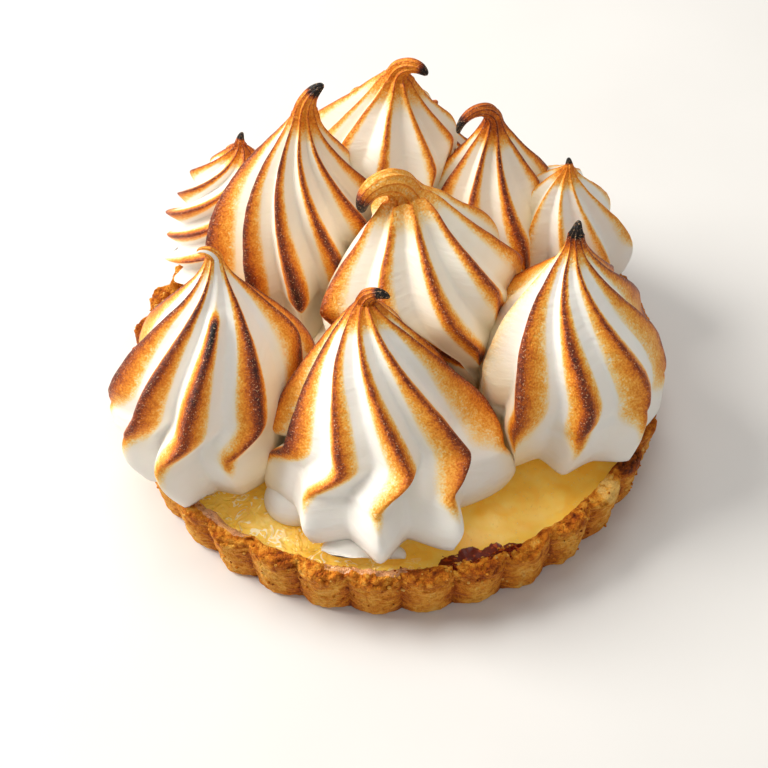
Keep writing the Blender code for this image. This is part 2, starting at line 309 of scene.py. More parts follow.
Swirl = namedtuple(
    "Swirl",
    "name foot crown radius ridges turn twist untwist kink lean skirt spread "
    "belly pinch heart neck hook heading curl firm",
)
Swirl.__doc__ = """One piped swirl. Lengths are in millimetres and angles in degrees.

foot, crown: the middle of its underside and the point where its hook begins
turn, twist, untwist, kink: where the first ridge stands at the foot, and how the ridges wind going up
lean: how late the body bows over; skirt: the station of its widest ring
spread: the width of its underside, as a share of that ring's
belly, pinch: how full it stays low down, and how fast it narrows to the neck
heart: the station whose height sets how it leans on its neighbours
neck: the radius where the hook begins
hook, heading, curl: the hook's radius, the way it points and the angle it bends through
firm: how well it keeps its width where it presses on a neighbour
"""

SWIRLS = (
    Swirl("meringue_front", (-4, -32.5, 12), (-5.2, -19.5, 52.6), 26.9, 10, -141, 12, -59, 22,
          1.1, 0.10, 0.92, 1.35, 0.95, 0.46, 2.2, 2.8, -15, 135, 0.94),
    Swirl("meringue_front_left", (-37, -18.5, 12.5), (-35.1, -8.1, 54.6), 25.4, 9, -168, -48, 74, 21,
          1.26, 0.20, 0.84, 2.21, 1.69, 0.40, 1.8, 1.8, 175, 140, 0.77),
    Swirl("meringue_front_right", (37.2, -16, 12.5), (36.6, -7.5, 56.9), 25.4, 10, -121, 59, -111, 6,
          1.0, 0.20, 0.94, 2.2, 1.95, 0.50, 1.8, 8.0, 60, 25, 0.84),
    Swirl("meringue_middle", (6, 1, 14), (2.8, 7.0, 56.2), 28.5, 10, -67, -210, 133, 0,
          2.4, 0.31, 1.05, 1.87, 1.15, 0.56, 4.2, 4.6, 205, 195, 0.91),
    Swirl("meringue_left", (-21, 22, 14), (-16.8, 25.3, 63.2), 21.8, 10, -160, 23, -85, 0,
          1.48, 0.28, 1.05, 2.14, 1.68, 0.53, 3.0, 8.0, 0, 62, 1.31),
    Swirl("meringue_back", (0, 39, 14), (3.0, 40.0, 60.6), 29.0, 10, -260, 159, -112, 0,
          2.4, 0.30, 1.0, 1.92, 1.39, 0.55, 3.1, 3.6, -20, 150, 0.99),
    Swirl("meringue_right", (23.5, 28, 14), (23.3, 30.5, 55.3), 26.0, 9, -101, -124, 74, 0,
          1.0, 0.28, 1.0, 1.05, 1.18, 0.53, 2.3, 4.3, 205, 185, 1.03),
    Swirl("meringue_far_left", (-37.5, 31, 13), (-33, 37, 45.5), 16.8, 9, -160, 250, -30, 0,
          1.2, 0.20, 0.87, 2.2, 1.0, 0.72, 1.6, 3.0, 60, 60, 0.85),
    Swirl("meringue_far_back_left", (-16, 46, 13), (-9.5, 51, 43), 17, 9, -150, 30, -60, 0,
          1.2, 0.20, 0.87, 1.4, 1.4, 0.72, 1.6, 3.0, 90, 60, 0.85),
    Swirl("meringue_far_back_right", (14, 46, 13), (11, 51, 42.5), 17, 9, -140, 30, -60, 0,
          1.2, 0.20, 0.87, 1.4, 1.4, 0.8, 1.9, 3.0, 0, 60, 0.85),
    Swirl("meringue_far_right", (39, 26, 13), (39.5, 22.5, 48), 17.5, 9, -130, 30, -60, 0,
          1.2, 0.20, 0.87, 2.0, 1.2, 0.72, 1.4, 3.0, 100, 50, 0.85),
)

# What single ridges do that others don't: how many degrees one swings aside over its whole length
# and at its foot, and how far it bulges, as a share of its reach. The rest differ by chance.
Ridge = namedtuple("Ridge", "swing foot bulge")
RIDGES = {
    "meringue_front": {
        0: Ridge(-10, 0, -0.10), 1: Ridge(-1, 0, -0.09), 2: Ridge(1, 0, -0.01),
        3: Ridge(-1, 0, 0.06), 4: Ridge(10, 0, 0.08), 9: Ridge(1, 0, 0.0),
    },
    "meringue_front_left": {
        0: Ridge(6, 13, -0.05), 1: Ridge(2, 13, -0.02), 2: Ridge(-7, 9, 0.08),
        3: Ridge(-7, 0, -0.11), 4: Ridge(9, 0, 0.01), 8: Ridge(-3, 13, -0.02),
    },
    "meringue_front_right": {
        0: Ridge(-6, 0, 0.08), 1: Ridge(-7, 0, -0.12), 2: Ridge(-2, 0, -0.14), 3: Ridge(11, 0, -0.16),
        4: Ridge(12, 0, 0.0), 5: Ridge(-1, 0, 0.10), 8: Ridge(0, 0, -0.18), 9: Ridge(-4, 0, -0.08),
    },
    "meringue_middle": {
        0: Ridge(-2, 0, 0.04), 1: Ridge(1, 0, -0.02), 2: Ridge(1, 0, -0.04), 3: Ridge(-1, 0, 0.0),
        4: Ridge(4, 0, -0.03), 5: Ridge(-3, 0, 0.08), 8: Ridge(0, 0, -0.22), 9: Ridge(4, 0, -0.30),
    },
    "meringue_left": {
        0: Ridge(4, 0, 0.05), 1: Ridge(4, 0, -0.02), 2: Ridge(-1, 0, 0.0), 3: Ridge(-4, 0, -0.03),
        4: Ridge(-3, 0, 0.01),
    },
    "meringue_back": {
        0: Ridge(13, 0, 0.09), 2: Ridge(-10, 0, -0.07), 3: Ridge(-3, 0, 0.0), 4: Ridge(3, 0, 0.01),
    },
    "meringue_right": {
        0: Ridge(-4, 0, 0.03), 1: Ridge(-4, 0, 0.0), 2: Ridge(-6, 0, -0.01), 3: Ridge(13, 0, -0.08),
        4: Ridge(3, 0, 0.06),
    },
}

Toasting = namedtuple("Toasting", "strength breadth torch low neck char")
Toasting.__doc__ = """How a swirl was browned.

strength, breadth: how dark its ridges went, and how far the brown runs down the flank
torch: the azimuth that the flame came from, in degrees, which browns the flanks that face it
low: the station where the browning ends
neck: how brown it is all round where the hook begins; char: the station where the tip turns black
"""

TOASTINGS = {
    "meringue_front": Toasting(1.0, 0.95, -95, 0.15, 0.52, 1.55),
    "meringue_front_left": Toasting(1.12, 1.0, -100, 0.15, 0.34, 3.0),
    "meringue_front_right": Toasting(1.0, 1.5, -105, 0.10, 0.54, 1.0),
    "meringue_middle": Toasting(0.85, 0.75, -60, 0.27, 0.32, 1.72),
    "meringue_left": Toasting(0.98, 0.85, -95, 0.24, 0.43, 1.62),
    "meringue_back": Toasting(0.72, 0.55, -95, 0.26, 0.44, 1.74),
    "meringue_right": Toasting(1.05, 0.85, -90, 0.24, 0.60, 1.72),
    "meringue_far_left": Toasting(1.05, 0.85, -100, 0.15, 0.60, 1.5),
    "meringue_far_back_left": Toasting(1.0, 1.0, 90, 0.15, 0.38, 3.0),
    "meringue_far_back_right": Toasting(1.1, 0.90, 60, 0.15, 0.62, 3.0),
    "meringue_far_right": Toasting(0.52, 0.50, -60, 0.26, 0.45, 1.5),
}

# How much flatter the ridges are at the skirt, and at the hook, than half way up, where a swirl
# differs from the rest, and how many millimetres the shoulder below a hook stands out.
SKIRT_SOFTNESS = {"meringue_front": 0.12, "meringue_front_right": 0.0}
HOOK_SMOOTHNESS = {"meringue_front": 0.85, "meringue_middle": 0.9, "meringue_right": 0.8}
SHOULDERS = {"meringue_middle": 1.6, "meringue_back": 0.8}

# Ridges that browned more or less than their swirl did, and the one that stops short of the top:
# its swirl, its number and the station where it ends.
RIDGE_TOAST = {
    "meringue_front": {0: 1.18, 9: 1.1},
    "meringue_front_left": {2: 0.95, 3: 1.1},
    "meringue_front_right": {1: 1.05, 8: 0.3, 9: 0.25},
    "meringue_middle": {8: 0.5, 9: 0.4},
    "meringue_left": {1: 1.15, 2: 1.2, 3: 1.1},
}
SHORT_RIDGE_SWIRL, SHORT_RIDGE, SHORT_RIDGE_TOP = "meringue_front_left", 2, 0.78
print("swirls:", len(SWIRLS))

# %% [markdown]
# Points are read and written as one NumPy array, because a swirl has some thirty thousand of them.
# The helpers here read the middle line of a swirl and carry two cross directions up along it
# without turning, so that the only twist in the ridges is the one that is asked for.

# %% Points along a swirl
RING_STEP = 0.01
HOOK_STEP = 0.03
HOOK_END = 2
UPRIGHT = Vector((0, 0, 1))


def eased(low, high, values):
    """0 at low and 1 at high, eased at both ends."""
    share = np.clip((values - low) / (high - low), 0.0, 1.0)
    return share * share * (3 - 2 * share)


def lumps(points, pitch, field):
    """Smooth noise from about -1 to 1 at each point, with lumps about pitch across."""
    return np.array([noise.noise(Vector(point)) for point in points / pitch + field])


def spine_point(swirl, station):
    foot = Vector(swirl.foot) * MM
    crown = Vector(swirl.crown) * MM
    if station <= 1:
        bow = station ** swirl.lean
        flat = foot.lerp(crown, bow)
        return Vector((flat.x, flat.y, foot.z + (crown.z - foot.z) * station))
    heading = math.radians(swirl.heading)
    over = Vector((math.cos(heading), math.sin(heading), 0))
    bent = math.radians(swirl.curl) * (station - 1)
    return crown + swirl.hook * MM * (over * (1 - math.cos(bent)) + UPRIGHT * math.sin(bent))


def spine_frames(swirl):
    """Arrays of the middle, across and along at every RING_STEP of the spine."""
    middles, acrosses, alongs = [], [], []
    across = Vector((1, 0, 0))
    for index in range(round(HOOK_END / RING_STEP) + 1):
        station = index * RING_STEP
        ahead = spine_point(swirl, station + RING_STEP / 2)
        behind = spine_point(swirl, max(station - RING_STEP / 2, 0))
        way = (ahead - behind).normalized()
        across = (across - way * across.dot(way)).normalized()
        middles.append(spine_point(swirl, station))
        acrosses.append(across)
        alongs.append(way.cross(across))
    return np.array(middles), np.array(acrosses), np.array(alongs)


# %% [markdown]
# Neighbours that are piped close together press on each other and go flat where they touch. A
# plane between each pair stands for that. Points that would cross it are eased back along its
# normal, and it gives by a millimetre, so that the swirls sink into each other as wet foam does.

# %% Where swirls press on each other
PRESS_OVERLAP = 1.0 * MM
PRESS_SOFTNESS = 0.7 * MM


def pressing_planes(swirl):
    planes = []
    for other in SWIRLS:
        if other.name == swirl.name:
            continue
        mine, theirs = spine_point(swirl, swirl.heart), spine_point(other, other.heart)
        reach = swirl.radius * swirl.firm
        share = reach / (reach + other.radius * other.firm)
        normal = (theirs - mine).normalized()
        planes.append((np.array(normal), normal.dot(mine.lerp(theirs, share))))
    return planes


def pressed(points, planes):
    """The points, eased back inside each plane, and how near each one came to a plane."""
    nearness = np.full(len(points), -1.0)
    for normal, offset in planes:
        beyond = points @ normal - offset - PRESS_OVERLAP
        eased_back = -PRESS_SOFTNESS * np.logaddexp(0.0, -beyond / PRESS_SOFTNESS)
        points = points + np.outer(eased_back - beyond, normal)
        nearness = np.maximum(nearness, eased_back)
    return points, nearness


def seated(points):
    """The points, kept above the curd or, where a swirl hangs over it, the rim."""
    ledge = eased(LEDGE_INNER, LEDGE_OUTER, np.hypot(points[:, 0], points[:, 1]))
    seat = CURD_LEVEL + (RIM_SEAT - CURD_LEVEL) * ledge
    points[:, 2] = np.maximum(points[:, 2], seat)
    return points


# %% [markdown]
# Across a ridge the shape is a pointed arch. The flank that the flame came from has sunk a little
# and is broad and brown, and the other drops away crisply. A third of the way up, where the bag
# was lifted for the second turn, the ridges jog sideways and a faint seam runs round the body.

# %% Shape of a swirl
RIDGE_DEPTH = 0.27
CREST_ROUND = 0.11
HOOK_TAPER = 0.68
TIP_TAPER = 0.20
KINK_LOW, KINK_HIGH = 0.22, 0.38
SEAM_DEPTH = 0.016
SEAM_WIDTH = 0.022
SOFT_SKIRT, SKIRT_TOP = 0.3, 0.30
SMOOTH_FOOT = 0.8
SMOOTH_HOOK = 0.5
HOOK_SMOOTHED = 1.6
RAISED_WAIST = 0.14
SHOULDER_STATION, SHOULDER_SPREAD = 0.96, 0.07
BROAD_FLANK, SHARP_FLANK = 1.95, 0.9


def raised(swirl):
    """Whether it stands up between others on a spread foot, so that its skirt hangs over them."""
    return swirl.spread >= 1


def crest_reach(swirl, station):
    """How far the ridges reach from the spine, in metres."""
    reach, neck = swirl.radius * MM, swirl.neck * MM
    tuck = np.clip((swirl.skirt - station) / swirl.skirt, 0.0, 1.0)
    waist = RAISED_WAIST * np.sin(math.pi * tuck) if raised(swirl) else 0.0
    low = reach * (1 - (1 - swirl.spread) * tuck * tuck - waist)
    risen = np.clip((station - swirl.skirt) / (1 - swirl.skirt), 0.0, 1.0)
    nearness = np.exp(-((station - SHOULDER_STATION) / SHOULDER_SPREAD) ** 2)
    shoulder = SHOULDERS.get(swirl.name, 0.0) * MM * nearness
    high = neck + (reach - neck) * (1 - risen ** swirl.belly) ** swirl.pinch + shoulder
    past = np.clip(station - 1, 0.0, 1.0)
    hook = neck * (1 - HOOK_TAPER * past ** 0.7 - TIP_TAPER * past ** 8) + shoulder
    return np.where(station >= 1, hook, np.where(station < swirl.skirt, low, high))


def winding(swirl, station):
    """The angle of the first ridge, in radians."""
    body = np.minimum(station, 1.0)
    kinked = eased(KINK_LOW, KINK_HIGH, body) - 1
    turned = swirl.turn + swirl.twist * body + swirl.untwist * body ** 2
    return np.radians(turned + swirl.kink * kinked)


def ridge_profile(aside, share):
    """How high a ridge stands: 1 on its crest and 0 in the valley. share is 1 on the broad flank."""
    off_crest = np.sqrt(aside ** 2 + CREST_ROUND ** 2) - CREST_ROUND
    off_crest /= math.hypot(1, CREST_ROUND) - CREST_ROUND
    return np.clip(1 - off_crest, 0, 1) ** (BROAD_FLANK - SHARP_FLANK * share)


def valley_depth(swirl, station):
    """How deep the valleys are, as a share of the reach."""
    smoothness = HOOK_SMOOTHNESS.get(swirl.name, SMOOTH_HOOK)
    depth = RIDGE_DEPTH * (1 - smoothness * eased(0.97, HOOK_SMOOTHED, station))
    if raised(swirl):
        return depth * (1 - SMOOTH_FOOT * (1 - eased(0.0, swirl.skirt, station)))
    softness = SKIRT_SOFTNESS.get(swirl.name, SOFT_SKIRT)
    return depth * (1 - softness * (1 - eased(0.0, SKIRT_TOP, station)))


def seam_depth(swirl, station, wound):
    """The faint wandering groove where the bag was lifted, as a share of the reach."""
    place = KINK_LOW + 0.02 + 0.025 * np.sin(wound * 3 + swirl.turn)
    return SEAM_DEPTH * np.exp(-((station - place) / SEAM_WIDTH) ** 2) * (swirl.kink != 0)


def ridge_begun(swirl, ridge, station):
    """1 where a ridge stands, and 0 above the end of the one that stops short."""
    if swirl.name != SHORT_RIDGE_SWIRL:
        return np.ones(len(station))
    stopped = eased(SHORT_RIDGE_TOP - 0.01, SHORT_RIDGE_TOP + 0.03, station)
    return np.where(ridge == SHORT_RIDGE, 1 - stopped, 1)


# %% [markdown]
# The flame browns what stands out and what faces it. So the browning is a sum: a broad stretch on
# the flank that faces the torch, a dark line along each crest, and the hook, which goes brown all
# round and black at its end. It stops well above the skirt, except on the swirls that stand up
# between others, whose hems hung out into the flame and burnt.

# %% Browning of a swirl
LEE_WIDTH = 0.34
FLANK_TOAST = 0.54
LINE_TOAST, LINE_WIDTH = 0.26, 0.17
FULLEST, FULL_SPREAD, LEAST_FULL = 0.45, 0.26, 0.62
HEM_TOAST = 0.40
BROWNEST, PAST_BROWNEST = 0.70, 0.35
NECK_FROM = 0.84
TIP_TOAST = 0.9
SHORT_TIP_TOAST, SHORT_TIP_WIDTH = 0.45, 0.35


def browning(swirl, toasting, station, aside, share, strength):
    """The toast level: 0 is white, about a third orange, and 1 black."""
    if raised(swirl):
        fullest = swirl.skirt + 0.12
        end = eased(swirl.skirt - 0.06, swirl.skirt + 0.02, station)
        line_end = end
        hem = HEM_TOAST * np.exp(-((station - swirl.skirt - 0.05) / 0.12) ** 2)
    else:
        fullest = FULLEST
        end = eased(toasting.low + 0.02, toasting.low + 0.22, station)
        line_end = eased(toasting.low - 0.08, toasting.low + 0.12, station)
        hem = 0.0
    fullness = LEAST_FULL + (1 - LEAST_FULL) * np.exp(-((station - fullest) / FULL_SPREAD) ** 2)
    width = (LEE_WIDTH + (1 - LEE_WIDTH) * toasting.breadth * share ** 1.3) * fullness
    flank = np.clip(1 - np.abs(aside) / width, 0, 1) ** 0.7
    line = np.exp(-(aside / LINE_WIDTH) ** 2)
    line_end = line_end * (1 - 0.8 * eased(NECK_FROM, 0.98, station))
    blended = 1 - 0.45 * eased(0.88, 1.0, station)
    body = FLANK_TOAST * flank * end * blended + LINE_TOAST * line * line_end
    body = body * (1 + hem) * strength * toasting.strength
    body = np.minimum(body, BROWNEST) + PAST_BROWNEST * np.maximum(body - BROWNEST, 0)
    neck = toasting.neck * eased(NECK_FROM, 1.0, station) * (0.9 + 0.24 * line)
    tip = TIP_TOAST * eased(toasting.char - 0.1, toasting.char + 0.2, station)
    return np.maximum(body, neck) + 0.35 * np.minimum(body, neck) + tip


def short_ridge_tip(swirl, ridge, station, aside):
    """The black point of the ridge that stops short, which fades down along its crest."""
    if swirl.name != SHORT_RIDGE_SWIRL:
        return 0.0
    spread = np.where(station > SHORT_RIDGE_TOP, 0.02, 0.09)
    fading = np.exp(-np.abs(SHORT_RIDGE_TOP - station) / spread)
    across = np.exp(-(aside / SHORT_TIP_WIDTH) ** 2)
    return SHORT_TIP_TOAST * fading * across * (ridge == SHORT_RIDGE)


# %% [markdown]
# Spin makes the turned form: a straight wire of unit radius, with one point for each ring, goes
# round the axis and closes on itself. The rules above then move its points. The browning is kept
# on the mesh as a point attribute, beside a second one that holds painted shade: a warm ivory tint
# in the creases where swirls press together, and a weaker one all over the swirls that stand up
# between others, standing in for shade and for light bounced from the browned meringue and the curd.

# %% Turned forms and pieces


def turned_form(profile, columns):
    """A closed turned body from (radius, height) points, whose first and last lie on the axis."""
    bm = bmesh.new()
    points = [bm.verts.new((radius, 0, height)) for radius, height in profile]
    edges = [bm.edges.new(pair) for pair in zip(points, points[1:])]
    bmesh.ops.spin(bm, geom=points + edges, cent=(0, 0, 0), axis=(0, 0, 1),
                   angle=math.tau, steps=columns, use_merge=True)
    bmesh.ops.remove_doubles(bm, verts=bm.verts, dist=1e-7)
    return bm


def piece_from(bm, name, material):
    """A smooth piece with its faces outwards, at the origin."""
    bmesh.ops.recalc_face_normals(bm, faces=bm.faces)
    mesh = bpy.data.meshes.new(name)
    bm.to_mesh(mesh)
    bm.free()
    mesh.materials.append(material)
    mesh.shade_smooth()
    piece = bpy.data.objects.new(name, mesh)
    bpy.context.scene.collection.objects.link(piece)
    return piece


def points_of(bm):
    return np.array([vert.co for vert in bm.verts])


def move_points(bm, points):
    for vert, point in zip(bm.verts, points):
        vert.co = point


def paint(piece, name, values):
    layer = piece.data.attributes.new(name, "FLOAT", "POINT")
    layer.data.foreach_set("value", np.asarray(values, np.float32))


# %% Pipe the swirls
COLUMNS_A_RIDGE = 22
LAST_RING = 1.98
WOBBLE, WOBBLE_PITCH = 0.30 * MM, 6.5 * MM
RIPPLE, RIPPLE_PITCH = 0.10 * MM, 2.2 * MM
UNEVEN_PITCH = 9 * MM
FULL_WOBBLE_REACH = 8 * MM
# Heights over which the painted crease shade fades out, and the painted shade that raised swirls carry
# all over.
PAINTED_SHADE_LOW, PAINTED_SHADE_HIGH = 34 * MM, 54 * MM
RAISED_PAINTED_SHADE = 0.35


def ridge_habits(swirl):
    """Arrays of each ridge's swing, its foot's swing, its bulge and how strongly it browned."""
    rng = random.Random(swirl.name)
    chance = [(rng.uniform(-3, 3), 0, rng.uniform(-0.06, 0.06)) for _ in range(swirl.ridges)]
    known = RIDGES.get(swirl.name, {})
    habits = [known.get(index, chance[index]) for index in range(swirl.ridges)]
    swings, feet, bulges = np.array(habits).T
    strengths = np.array([rng.uniform(0.88, 1.10) for _ in range(swirl.ridges)])
    for index, share in RIDGE_TOAST.get(swirl.name, {}).items():
        strengths[index] *= share
    return swings, feet, bulges, strengths


def ridge_places(swirl, station, angle, torch, swings, feet):
    """Each point's nearest ridge, how far it is aside of the crest, its flank and its angle."""
    phase = angle * swirl.ridges / math.tau
    ridge = np.rint(phase).astype(int) % swirl.ridges
    aside = 2 * (phase - np.rint(phase))
    before = np.floor(phase).astype(int)
    share = eased(0.0, 1.0, phase - before)
    low = 1 - eased(KINK_LOW, KINK_HIGH, station)
    first, second = before % swirl.ridges, (before + 1) % swirl.ridges
    swing_first = swings[first] + feet[first] * low
    swing_second = swings[second] + feet[second] * low
    swing = swing_first * (1 - share) + swing_second * share
    wound = angle + winding(swirl, station) + np.radians(swing) * (1 - eased(0.85, 1.0, station))
    facing = 0.5 + 0.5 * np.sin(math.radians(torch) - wound)
    return ridge, aside, np.where(aside > 0, facing, 1 - facing), wound


def pipe_swirl(swirl):
    toasting = TOASTINGS[swirl.name]
    swings, feet, bulges, strengths = ridge_habits(swirl)
    rings = [*np.arange(0, 1, RING_STEP), *np.arange(1, LAST_RING, HOOK_STEP)]
    profile = [(0.0, 0.0), *((1.0, station) for station in rings), (0.0, HOOK_END)]
    bm = turned_form(profile, swirl.ridges * COLUMNS_A_RIDGE)
    form = points_of(bm)
    station = form[:, 2]
    angle = np.arctan2(form[:, 1], form[:, 0])
    ridge, aside, share, wound = ridge_places(swirl, station, angle, toasting.torch, swings, feet)

    begun = ridge_begun(swirl, ridge, station)
    lobe = ridge_profile(aside, share) * (0.15 + 0.85 * begun)
    valley = valley_depth(swirl, station) * (1 - lobe)
    bulge = bulges[ridge] * lobe * (1 - eased(0.9, 1.0, station))
    reach = crest_reach(swirl, station) * (1 - valley + bulge - seam_depth(swirl, station, wound))
    on_spine = np.hypot(form[:, 0], form[:, 1]) < 0.5
    reach[on_spine] = 0.0

    row = np.rint(station / RING_STEP).astype(int)
    middle, across, along = (rows[row] for rows in spine_frames(swirl))
    outward = across * np.cos(wound)[:, None] + along * np.sin(wound)[:, None]
    points = middle + outward * reach[:, None]
    wobble = WOBBLE * lumps(points, WOBBLE_PITCH, swirl.turn)
    ripple = RIPPLE * lumps(points, RIPPLE_PITCH, swirl.turn)
    points += outward * ((wobble + ripple) * np.minimum(reach / FULL_WOBBLE_REACH, 1))[:, None]
    points, nearness = pressed(points, pressing_planes(swirl))
    points = seated(points)
    move_points(bm, points)
    piece = piece_from(bm, swirl.name + "_piped", meringue)

    uneven = lumps(points, UNEVEN_PITCH, 40.0)
    strength = strengths[ridge] * (1 + 0.2 * uneven)
    toast = browning(swirl, toasting, station + 0.03 * uneven, aside, share, strength)
    toast = toast * (0.1 + 0.9 * begun) + short_ridge_tip(swirl, ridge, station, aside)
    paint(piece, "toast", toast)
    # Painted shade: ivory where the swirl comes near a neighbour's pressing plane, fading out higher
    # up, and a little everywhere on the raised swirls.
    exposed = eased(PAINTED_SHADE_LOW, PAINTED_SHADE_HIGH, points[:, 2])
    shelter = eased(-8 * MM, -0.5 * MM, nearness) * (1 - exposed)
    paint(piece, "shelter", np.maximum(shelter, RAISED_PAINTED_SHADE * raised(swirl)))
    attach(piece, "root")
    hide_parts(swirl.name)
    return piece


for swirl in SWIRLS:
    piped = pipe_swirl(swirl)
    print(piped.name, len(piped.data.polygons), "faces")

# %% [markdown]
# The first squeeze of the front swirl spilt out from under its skirt. Three flattened balls, sunk
# in the swirl and resting on the curd, stand for what shows of it.

# %% Spilt meringue
SPILLS = (((-21.0, -37.5, 12.6), (7.0, 6.5, 5.0)), ((-9.5, -50.5, 12.4), (6.5, 3.6, 3.2)),
          ((-3.0, -52.0, 12.2), (4.2, 2.6, 2.4)))
SPILL_LUMP, SPILL_PITCH = 0.35 * MM, 3 * MM


def spill_meringue():
    """One piece made of flattened balls, given as middles and radii in millimetres."""
    bm = bmesh.new()
    for middle, radii in SPILLS:
        place = Matrix.Translation(Vector(middle) * MM) @ Matrix.Diagonal((*(r * MM for r in radii), 1))
        bmesh.ops.create_uvsphere(bm, u_segments=48, v_segments=32, radius=1, matrix=place)
    points = points_of(bm)
    points[:, 2] += SPILL_LUMP * lumps(points, SPILL_PITCH, 31.0)
    move_points(bm, seated(points))
    piece = piece_from(bm, "spilt_meringue", meringue)
    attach(piece, "root")
    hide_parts("meringue_front")
    return piece


spilt = spill_meringue()
print("spilt meringue", len(spilt.data.polygons), "faces")

# %% [markdown]
# Shortcrust is flour, butter and sugar, so its surface is neither smooth nor regular: crumbs stand
# out, butter leaves pits and seams, and the thin rim browns first. The case is a turned wall pushed
# into flutes, with lumps, layers and pebbles in the mesh and finer grain in the finish. Where the
# filling boiled over, a few spots paint a thin film on the pastry, and dark red syrup on both
# pastry and curd.

# %% Crust finish
CRUST_STOPS = (
    (0.00, (0.95, 0.56, 0.15)),
    (0.20, (0.88, 0.40, 0.050)),
    (0.42, (0.70, 0.22, 0.012)),
    (0.64, (0.44, 0.095, 0.004)),
    (0.84, (0.21, 0.040, 0.004)),
    (1.00, (0.09, 0.016, 0.004)),
)
FILM_COLOUR = (0.90, 0.48, 0.25)
SYRUP_DARK = (0.16, 0.010, 0.002)
SYRUP_RAGGED = 1.3 * MM
SYRUP_BUBBLE = 1.0 * MM


def boiled_syrup(finish, low, high, bright):
    """Dark syrup, brighter where the noise of its bubbles passes from low to high."""
    bubbling = finish.grain(SYRUP_BUBBLE, detail=1.0).between(low, high)
    return finish.mixed(bubbling, SYRUP_DARK, bright)


def crust_finish():
    finish = Finish(
        "shortcrust", Subsurface_Weight=0.05, Subsurface_Scale=1.0 * MM, Specular_IOR_Level=0.18
    )
    # The attribute browned carries the pastry's browning together with painted shade in the flute
    # creases and between the rim's crumbs.
    browned = finish.attribute("browned")
    patches = finish.grain(6.0 * MM) - 0.5
    crumbs = finish.grain(1.3 * MM, detail=4.0) - 0.5
    sand = finish.grain(0.4 * MM, detail=2.0) - 0.5
    layers = finish.grain(2.2 * MM, place=finish.stretched((0.7, 0.7, 3.4))) - 0.5
    level = browned + patches * 0.6 + crumbs * 0.8 + layers * 0.3 + sand * 0.4
    colour = finish.ramp(level, *CRUST_STOPS)
    syrup = finish.ragged("syrup", SYRUP_RAGGED)
    film = finish.ragged("film", 1.6 * MM)
    colour = finish.mixed(film * 0.6, colour, FILM_COLOUR)
    boiled = boiled_syrup(finish, 0.50, 0.66, (0.55, 0.10, 0.012))
    finish.feed("Base Color", finish.mixed(syrup, colour, boiled))
    wet = syrup + film
    finish.feed("Roughness", 0.70 + sand * 0.3 - wet * 0.45)
    finish.feed("Coat Weight", film * 0.6)
    finish.bump((crumbs * 1.1 + layers * 0.7) * (1 - film * 0.6) + sand * 0.7, 1.1 * MM)
    return finish.material


shortcrust = crust_finish()
print("shortcrust nodes:", len(shortcrust.node_tree.nodes))

# %% The crust's sizes
WALL = 4.2 * MM
FLOOR = 4.2 * MM
FOOT_RADIUS = 59.2 * MM
FOOT_ROUND = 1.0 * MM
FLUTES = 34
FLUTE_DEPTH = 2.0 * MM
INNER_FLUTE_DEPTH = 0.7 * MM
CREASE_SHARPNESS = 0.8
COLUMNS_A_FLUTE = 26
RIM_STEPS = 22
CRUST_CELL = 0.55 * MM
INNER_RADIUS = RIM_RADIUS - WALL
CURD_EDGE = INNER_RADIUS - 0.6 * MM

# Where syrup and a thin film boiled over: middles and radii in millimetres.
SYRUP_SPOTS = (
    ((10, -54.3, 12.5), 2.8), ((14.5, -53.4, 12.8), 3.6), ((19, -52, 12.8), 3.4),
    ((22.5, -51, 12.8), 2.4),
)
FILM_SPOTS = (
    ((-39, -42, 13.5), 5), ((-34, -46, 13.5), 4), ((-12, -54, 13), 5), ((-6, -55, 13), 4.5),
    ((-1, -55.5, 13), 3.5),
)

# The pitches of its lumps, and where along the rim a pale flake stands up and where it is burnt.
COARSE_PITCH, MEDIUM_PITCH, FINE_PITCH = 4.5 * MM, 1.9 * MM, 0.85 * MM
LAYER_PITCH, LAYER_FLATNESS = 2.6 * MM, (1, 1, 2.6)
CRUMB_PITCH = 1.5 * MM
FLAKE_SIDE, FLAKE_SPREAD, FLAKE_RISE = -41.5, 3.5, 0.8 * MM
SCORCH_SIDE, SCORCH_SPREAD = -32, 5
print("case", round(2000 * RIM_RADIUS, 1), "mm across its rim,", FLUTES, "flutes")

# %% Section of the case


def crust_section():
    """The case in section, from the middle of its underside, round its rim, to its floor's middle."""
    section = [(0.0, 0.0), (FOOT_RADIUS - FOOT_ROUND, 0.0), (FOOT_RADIUS, FOOT_ROUND)]
    rim_foot = CASE_HEIGHT * 0.85
    climb = round((rim_foot - FOOT_ROUND) / CRUST_CELL)
    for step in range(1, climb):
        share = step / climb
        section.append((FOOT_RADIUS + (RIM_RADIUS - FOOT_RADIUS) * share,
                        FOOT_ROUND + (rim_foot - FOOT_ROUND) * share))
    for step in range(RIM_STEPS + 1):
        turn = math.pi * step / RIM_STEPS
        section.append((RIM_RADIUS - WALL / 2 + WALL / 2 * math.cos(turn),
                        rim_foot + (CASE_HEIGHT - rim_foot) * math.sin(turn) ** 0.7))
    section.append((INNER_RADIUS - 0.4 * MM, CASE_HEIGHT * 0.6))
    section.append((INNER_RADIUS - 0.8 * MM, FLOOR))
    section.append((0.0, FLOOR))
    return section


print("points round the section:", len(crust_section()))

# %% Crags and spots


def pebbles(points, pitch):
    """Round lumps that meet in creases, from 0 in a crease to 1 on top of a lump."""
    nearest = np.array([noise.voronoi(Vector(point))[0][0] for point in points / pitch])
    return np.clip(1 - 1.6 * nearest * nearest, 0, 1)


def beside(angle, side, spread):
    """1 at an azimuth given in degrees, falling to 0 over a few times the spread."""
    return np.exp(-((np.degrees(angle) - side) / spread) ** 2)


